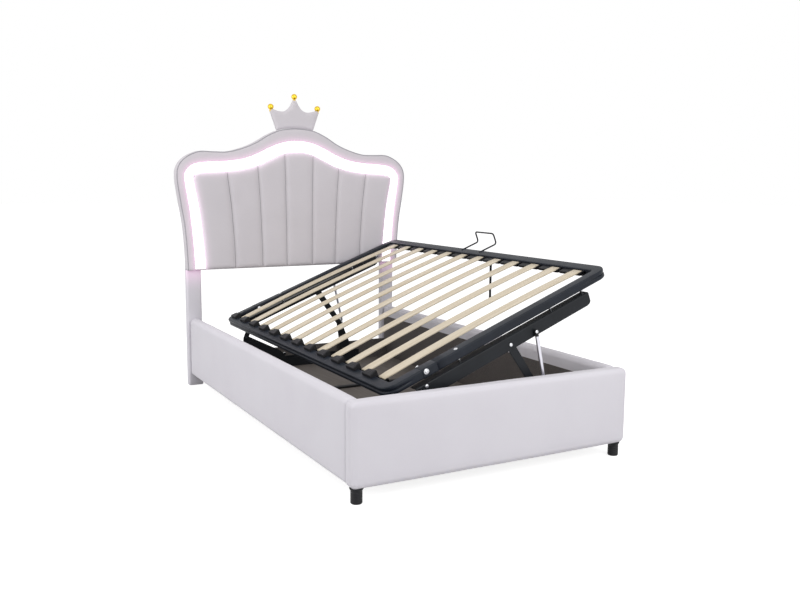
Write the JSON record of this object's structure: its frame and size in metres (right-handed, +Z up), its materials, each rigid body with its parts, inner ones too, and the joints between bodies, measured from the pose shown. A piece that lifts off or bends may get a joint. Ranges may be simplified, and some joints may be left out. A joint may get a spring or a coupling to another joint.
{
  "type": "ottoman bed",
  "caption": "Upholstered side-lift storage bed with a lit, channelled headboard and crown, and a slatted steel frame raised by arms and gas struts.",
  "frame": {"origin": "on the floor under the middle of the bed, at the sole of the centre foot", "axes": "+Z up, +Y from the foot panel to the headboard, +X towards the long side that lifts"},
  "size_m": [1.4568, 2.22, 1.7029],
  "materials": {
    "base_cloth": "soft velvet upholstery",
    "headboard_cloth": "soft velvet upholstery, pulled tight",
    "light": "lit white diffuser",
    "lining": "dark non-woven lining",
    "board": "faced board",
    "frame_paint": "dark powder coat",
    "mechanism_paint": "dark powder coat",
    "birch": "bare plywood",
    "black_plastic": "moulded",
    "bright_steel": "bright",
    "gold": "polished",
    "webbing": "woven"
  },
  "bodies": {
    "base": {"foot_panel": "base_cloth", "side_panel_left": "base_cloth", "front_foot_left": "black_plastic", "side_panel_right": "base_cloth", "front_foot_right": "black_plastic", "floor_board_1": "board", "floor_board_2": "board", "floor_board_3": "board", "floor_cleat_left": "board", "floor_cleat_right": "board", "head_rail": "lining", "centre_beam": "mechanism_paint", "centre_foot": "black_plastic", "headboard_shell": "headboard_cloth", "headboard_back_panel": "lining", "led_strip": "light", "headboard_pad": "headboard_cloth", "crown_pad": "headboard_cloth", "crown_ball_centre": "gold", "crown_ball_left": "gold", "crown_ball_right": "gold", "headboard_leg_left": "base_cloth", "corner_bracket_left": "mechanism_paint", "headboard_leg_right": "base_cloth", "corner_bracket_right": "mechanism_paint", "led_power_inlet": "black_plastic", "base_channel_foot": "mechanism_paint", "base_channel_head": "mechanism_paint"},
    "slat_platform": {"side_rail_left": "frame_paint", "side_rail_right": "frame_paint", "end_rail_foot": "frame_paint", "end_rail_head": "frame_paint", "slat_01": "birch", "slat_02": "birch", "slat_03": "birch", "slat_04": "birch", "slat_05": "birch", "slat_06": "birch", "slat_07": "birch", "slat_08": "birch", "slat_09": "birch", "slat_10": "birch", "slat_11": "birch", "slat_12": "birch", "top_bar_foot": "mechanism_paint", "top_bar_head": "mechanism_paint", "mattress_stop": "mechanism_paint", "strap_clip": "mechanism_paint"},
    "lift_arm_foot": {"long_arm_foot": "mechanism_paint"},
    "lift_arm_head": {"long_arm_head": "mechanism_paint"},
    "short_arm_foot": {"short_arm_foot": "mechanism_paint"},
    "strut_rod_foot": {"strut_rod_foot": "bright_steel"},
    "strut_cylinder_foot": {"strut_cylinder_foot": "bright_steel"},
    "short_arm_head": {"short_arm_head": "mechanism_paint"},
    "strut_rod_head": {"strut_rod_head": "bright_steel"},
    "strut_cylinder_head": {"strut_cylinder_head": "bright_steel"},
    "pull_strap": {"pull_strap": "webbing"}
  },
  "joints": [
    {"name": "lift", "type": "hinge", "parent": "base", "child": "lift_arm_foot", "pos_m": [0.24577, -1.0125, 0.32666], "axis": [0, -1, 0], "range_deg": [0, 57.68]},
    {"name": "platform_tilt", "type": "hinge", "parent": "lift_arm_foot", "child": "slat_platform", "pos_m": [0.10014, -1.0125, 0.53127], "axis": [0, 1, 0], "range_deg": [0, 79.14]},
    {"name": "lift_arm_head_turn", "type": "hinge", "parent": "base", "child": "lift_arm_head", "pos_m": [0.24577, 0.9795, 0.32666], "axis": [0, -1, 0], "range_deg": [0, 57.69]},
    {"name": "short_arm_foot_turn", "type": "hinge", "parent": "base", "child": "short_arm_foot", "pos_m": [-0.3548, -1.0125, 0.27109], "axis": [0, -1, 0], "range_deg": [0, 88.77]},
    {"name": "short_arm_head_turn", "type": "hinge", "parent": "base", "child": "short_arm_head", "pos_m": [-0.3548, 0.9795, 0.27109], "axis": [0, -1, 0], "range_deg": [0, 88.77]},
    {"name": "strut_foot_swing", "type": "hinge", "parent": "base", "child": "strut_rod_foot", "pos_m": [0.325, -1.0305, 0.11], "axis": [0, -1, 0], "range_deg": [0, 32.09]},
    {"name": "strut_foot_slide", "type": "slide", "parent": "strut_rod_foot", "child": "strut_cylinder_foot", "axis": [0.2163, 0, -0.9763], "range_m": [0, 0.1954]},
    {"name": "strut_head_swing", "type": "hinge", "parent": "base", "child": "strut_rod_head", "pos_m": [0.325, 0.9975, 0.11], "axis": [0, -1, 0], "range_deg": [0, 32.09]},
    {"name": "strut_head_slide", "type": "slide", "parent": "strut_rod_head", "child": "strut_cylinder_head", "axis": [0.2163, 0, -0.9763], "range_m": [0, 0.1954]},
    {"name": "strap_swing", "type": "hinge", "parent": "slat_platform", "child": "pull_strap", "pos_m": [0.62677, -0.1075, 0.77149], "axis": [0, -1, 0], "range_deg": [0, 21.46]}
  ],
  "couplings": [
    {"joint": "platform_tilt", "follows": "lift", "ratio": 1.3719},
    {"joint": "lift_arm_head_turn", "follows": "lift", "ratio": 1},
    {"joint": "short_arm_foot_turn", "follows": "lift", "ratio": 1.539},
    {"joint": "short_arm_head_turn", "follows": "lift", "ratio": 1.539},
    {"joint": "strut_foot_swing", "follows": "lift", "ratio": 0.55623},
    {"joint": "strut_foot_slide", "follows": "lift", "m_per_rad": 0.19392},
    {"joint": "strut_head_swing", "follows": "lift", "ratio": 0.55623},
    {"joint": "strut_head_slide", "follows": "lift", "m_per_rad": 0.19392},
    {"joint": "strap_swing", "follows": "lift", "ratio": 0.3719}
  ]
}
